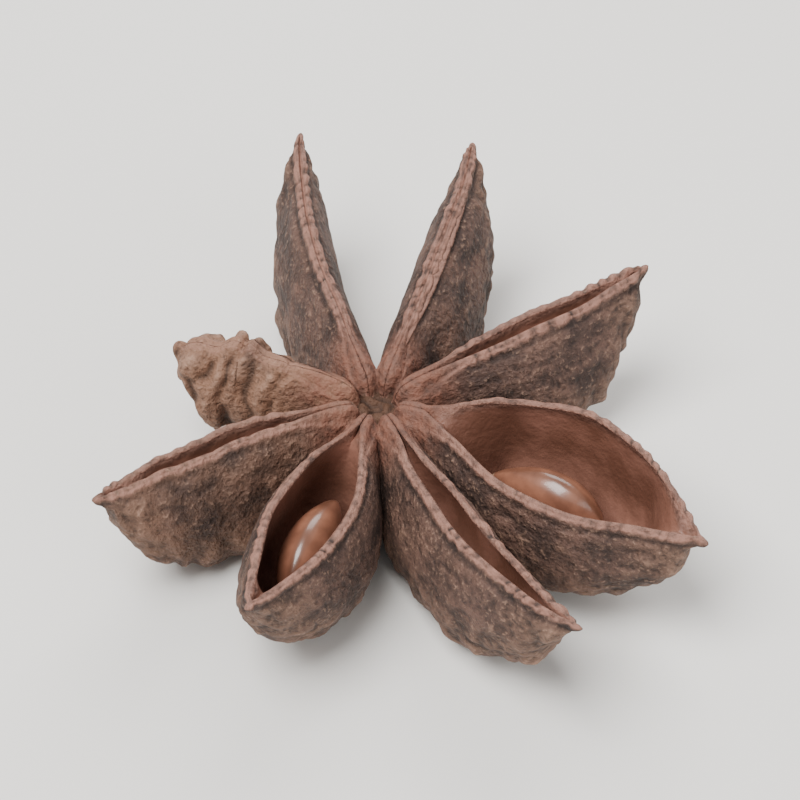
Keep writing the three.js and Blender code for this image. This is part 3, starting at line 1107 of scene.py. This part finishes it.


# Sun-dried woody husk: dull and leathery outside, with tan ridges and pale lips from wear, and the
# furrows painted dark as shade; the lining of the chambers is polished and redder, and painted darker
# towards their floors as shade. Clouds and blotches are where the skin browned unevenly, and flecks
# are its pores. Its stone cells, of about 0.05 mm, are too fine to show, so they are drawn as a
# grain of 0.17 mm.
HUSK = Finish(
    name="dried_husk",
    base="40302a",
    layers=(
        Layer("62493f", Pattern.BLOTCH, 0.38, 0.6),
        Layer("6f5245", Pattern.CLOUD, 0.48, 0.68, cover=0.7),
        Layer("755a4a", Mark.KEEL, 0.1, 0.9, Pattern.BLOTCH, 0.3, 0.6, 0.7),
        # Painted shade: darker in furrows, between the beads, in the waist and in shut grooves.
        Layer("1f1613", Mark.WEAR_AND_SHADE, 0.0, -0.65, Pattern.FLECK, 0.85, 0.35, 0.7),
        Layer("8b6650", Mark.TAN, 0.0, 1.0, Pattern.BLOTCH, 0.25, 0.55, 0.9),
        Layer("9b7965", Mark.WEAR_AND_SHADE, 0.1, 0.75, Pattern.FLECK, 0.38, 0.6, 0.8),
        Layer("987966", Pattern.GRAIN, 0.54, 0.66, Pattern.FLECK, 0.42, 0.6, 0.6),
        Layer("231a17", Pattern.GRAIN, 0.46, 0.36, Pattern.FLECK, 0.6, 0.4, 0.5),
        Layer("7b5040", Mark.HUB, 0.0, 0.8, Pattern.FLECK, 0.2, 0.6, 0.82),
        Layer("694638", Mark.CHAMBER, 0.0, 1.0),
        Layer("976a5a", Mark.CHAMBER, 0.2, 1.0, Pattern.CLOUD, 0.4, 0.66, 0.8),
        # Painted shade, darker towards the chamber floors.
        Layer("3a221a", Mark.DEEP_SHADE, 0.0, 1.0, Pattern.CLOUD, 0.7, 0.3, 0.6),
        Layer("91695a", Mark.LIP, 0.1, 0.9, Pattern.FLECK, 0.26, 0.5, 0.92),
        Layer("543a2b", Mark.CORE, 0.0, 1.0),
        # More painted shade in the deepest furrows.
        Layer("1f1613", Mark.WEAR_AND_SHADE, -0.2, -0.9, cover=0.6),
    ),
    patterns=(
        (Pattern.CLOUD, 3.4, 3.0), (Pattern.BLOTCH, 1.8, 5.0),
        (Pattern.FLECK, 0.42, 4.0), (Pattern.GRAIN, 0.17, 3.0),
    ),
    marks=HUSK_MARKS,
    roughness=Ramp(Mark.CHAMBER, 0.72, 0.4),
    coarse=Pattern.FLECK,
    bump_mm=0.24,
    bump_rise=Ramp(Mark.CHAMBER, 1.0, 0.28),
    gloss=(("IOR", 1.45), ("Specular IOR Level", 0.4)),
)

# Hard, polished seed coat: chestnut with soft clouds, a darker edge and a paler scar at the pointed
# end. The cells that make it gleam, of about 0.03 mm, are drawn ten times as coarse.
SEED_COAT = Finish(
    name="seed_coat",
    base="6a4434",
    layers=(
        Layer("94634d", Pattern.CLOUD, 0.35, 0.65),
        Layer("4a2e20", Mark.EDGE, 0.2, 1.0, cover=0.5),
        Layer("cfb090", Mark.SCAR, 0.2, 0.8),
    ),
    patterns=((Pattern.CLOUD, 1.5, 3.0), (Pattern.BLOTCH, 0.8, 2.0), (Pattern.GRAIN, 0.3, 2.0)),
    marks=(Mark.SCAR, Mark.EDGE),
    roughness=Ramp(Pattern.GRAIN, 0.34, 0.26),
    bump_mm=0.03,
    bump_rise=Ramp(Pattern.GRAIN, 0.2, 0.3),
    gloss=(("IOR", 1.5), ("Coat Weight", 0.35), ("Coat Roughness", 0.12)),
)

# Matt paper board: no gloss, so that it only shows the fruit's soft shadow. Its fibres, about
# 0.03 mm thick, are drawn as a grain of 0.6 mm, which just keeps it from looking flat.
BOARD = Finish(
    name="matt_board",
    base="e6e3de",
    layers=(Layer("e2dfda", Pattern.CLOUD, 0.4, 0.6),),
    patterns=((Pattern.CLOUD, 60.0, 2.0), (Pattern.BLOTCH, 3.0, 2.0), (Pattern.GRAIN, 0.6, 2.0)),
    marks=(),
    roughness=Ramp(Pattern.GRAIN, 0.85, 0.8),
    bump_mm=0.01,
    bump_rise=Ramp(Pattern.GRAIN, 0.1, 0.2),
    gloss=(("IOR", 1.45), ("Specular IOR Level", 0.2)),
)


# ---- The whole fruit ----

FLAT = -0.14  # a keel that would reach this far below the ground ends in a small flat on it

CARPELS = (
    Carpel(24, 14.2, 1.5, 0.9, -0.4, 3.9, 0.6, 0.14, FLAT, Seam.SLIT),
    Carpel(69, 14.7, 1.9, 0.7, -0.6, 3.8, 0.3, 0.0, 0.35, Seam.SHUT),
    Carpel(112, 15.4, 1.4, -2.3, 0.3, 3.3, 0.25, 0.0, FLAT, Seam.SHUT),
    Carpel(161, 9.9, 0.5, 0.4, -0.4, 3.4, 0.3, 0.0, 1.3, Seam.FUSED, Tip.WITHERED, 0.9, 0.85),
    Carpel(206, 14.6, 1.0, 0.8, 0.3, 3.7, 0.6, 0.14, FLAT, Seam.SLIT, crumple=0.25, tan=0.3),
    Carpel(250, 14.9, 1.6, -0.6, -0.2, 4.2, 3.0, 0.84, 0.3, Seam.GAPING, seed=0.51),
    Carpel(292, 17.0, 1.4, 2.9, 0.2, 3.7, 0.95, 0.4, FLAT, Seam.SLIT),
    Carpel(333, 17.6, 1.0, -1.8, -0.3, 4.1, 5.4, 0.86, 0.15, Seam.GAPING, seed=0.49),
)


@dataclass(frozen=True)
class Husk:
    """The carpels grown together round the column."""

    carpels: tuple[Carpel, ...]
    column: Column
    seed: int = 7

    def build(self) -> Object:
        """Join the carpels and the column into one skin.

        Returns:
            The husk, with the marks of its parts carried over.
        """
        grain = Grain(self.seed)
        skins = [self.column.skin(grain)] + [carpel.skin(grain) for carpel in self.carpels]
        husk = skins[0].make("husk")
        others = bpy.data.collections.new("carpels")
        for index, skin in enumerate(skins[1:]):
            others.objects.link(skin.make(f"carpel_{index}"))
        join = husk.modifiers.new("join", "BOOLEAN")
        join.operation, join.solver = "UNION", "MANIFOLD"
        join.operand_type, join.collection = "COLLECTION", others
        joined = husk.evaluated_get(bpy.context.evaluated_depsgraph_get())
        husk.data = bpy.data.meshes.new_from_object(joined)
        husk.modifiers.clear()
        bpy.data.batch_remove([*others.objects, others])
        self._carry_marks(skins, husk.data)
        husk.data.shade_smooth()
        return husk

    def _carry_marks(self, skins: list[Skin], mesh: Mesh) -> None:
        """Give each point of the joined mesh the marks of the nearest point of its parts.

        Args:
            skins: The parts.
            mesh: The joined mesh.
        """
        every = np.concatenate([skin.points for skin in skins]) * MM
        tree = KDTree(len(every))
        for number, point in enumerate(every):
            tree.insert(point, number)
        tree.balance()
        nearest = [tree.find(vertex.co)[1] for vertex in mesh.vertices]
        for mark in HUSK_MARKS:
            values = np.concatenate([skin.marks[mark] for skin in skins])[nearest]
            kept = mesh.attributes.get(mark) or mesh.attributes.new(mark, "FLOAT", "POINT")
            kept.data.foreach_set("value", values.astype(np.float32))

    def dress(self, husk: Object, finish: Finish) -> None:
        """Give the husk its finish and its place in the frame.

        Args:
            husk: The joined husk.
            finish: What it is dressed in.
        """
        husk.data.materials.clear()
        husk.data.materials.append(finish.material())
        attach(husk, "root")
        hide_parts("pod")


@dataclass(frozen=True)
class Seeds:
    """The loose seeds that show in the gaping carpels."""

    carpels: tuple[Carpel, ...]
    shape: SeedShape = SeedShape()

    def build(self) -> list[Object]:
        """Make a seed for each carpel that shows one."""
        showing = [carpel for carpel in self.carpels if carpel.seed]
        return [self.shape.skin(c).make(f"glossy_seed_{n}") for n, c in enumerate(showing, start=1)]

    def dress(self, seeds: list[Object], finish: Finish) -> None:
        """Give the seeds their finish and their places in the frame.

        Args:
            seeds: The seeds.
            finish: What they are dressed in.
        """
        coat = finish.material()
        for number, seed in enumerate(seeds, start=1):
            seed.data.materials.append(coat)
            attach(seed, "root")
            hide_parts(f"seed_{number}")


# ---- Floor, light and camera ----


@dataclass(frozen=True)
class Studio:
    """A pale floor, soft light and a long lens."""

    floor_mm: float = 2000.0
    elevation: float = 50.0
    lens: float = 250.0
    sensor: float = 36.0
    clip_m: Pair = (0.01, 20.0)
    field_mm: float = 37.0
    aim_mm: Triple = (0.0, 0.6, 4.8)

    # Square lamps: name, place and side in metres, power in watts.
    lamps: tuple[tuple[str, Triple, float, float], ...] = (
        ("key", (-0.16, -0.1, 0.46), 0.3, 4.4),
        ("fill", (0.34, -0.34, 0.24), 0.4, 1.1),
        ("back", (0.1, 0.42, 0.3), 0.35, 2.2),
    )
    lit_mm: Triple = (0, 0, 4)
    sky: str = "f4f4f6"
    sky_strength: float = 0.5

    def build_floor(self, finish: Finish) -> None:
        """Lay the floor.

        Args:
            finish: What the floor is made of.
        """
        corners = self.floor_mm / 2 * np.array([[-1, -1, 0], [1, -1, 0], [1, 1, 0], [-1, 1, 0]])
        floor = Skin(corners, [[0, 1, 2, 3]], {}).make("floor")
        floor.data.materials.append(finish.material())

    def build_light(self) -> None:
        """Light the fruit softly from above and the left, and weakly from front and back."""
        for name, place, side, power in self.lamps:
            data = bpy.data.lights.new(name, "AREA")
            data.size, data.energy = side, power
            self._stand(bpy.data.objects.new(name, data), Vector(place), Vector(self.lit_mm) * MM)
        world = bpy.data.worlds.new("studio")
        bpy.context.scene.world = world
        world.use_nodes = True
        background = world.node_tree.nodes["Background"]
        background.inputs["Color"].default_value = linear(self.sky)
        background.inputs["Strength"].default_value = self.sky_strength

    def build_camera(self) -> None:
        """Point the camera down at the fruit along +Y."""
        data = bpy.data.cameras.new("camera")
        data.lens, data.sensor_width = self.lens, self.sensor
        data.clip_start, data.clip_end = self.clip_m
        away = self.field_mm * MM * self.lens / self.sensor
        rise = math.radians(self.elevation)
        target = Vector(self.aim_mm) * MM
        camera = bpy.data.objects.new("camera", data)
        self._stand(camera, target + away * Vector((0, -math.cos(rise), math.sin(rise))), target)
        bpy.context.scene.camera = camera

    def _stand(self, thing: Object, place: Vector, target: Vector) -> None:
        """Stand a lamp or the camera at its place, facing the target."""
        thing.location, thing.rotation_euler = place, (target - place).to_track_quat("-Z", "Y").to_euler()
        bpy.context.scene.collection.objects.link(thing)


def main() -> None:
    """Build the fruit, then the studio round it."""
    logging.basicConfig(level=logging.INFO, format="%(message)s")
    husk_maker, seed_maker, studio = Husk(CARPELS, Column()), Seeds(CARPELS), Studio()
    husk = husk_maker.build()
    husk_maker.dress(husk, HUSK)
    seeds = seed_maker.build()
    seed_maker.dress(seeds, SEED_COAT)
    for piece in (husk, *seeds):
        mesh = piece.data
        LOG.info("%s: %d corners, %d faces", piece.name, len(mesh.vertices), len(mesh.polygons))
    studio.build_floor(BOARD)
    studio.build_light()
    studio.build_camera()
    LOG.info("floor, light and camera set")


if __name__ == "__main__":
    main()
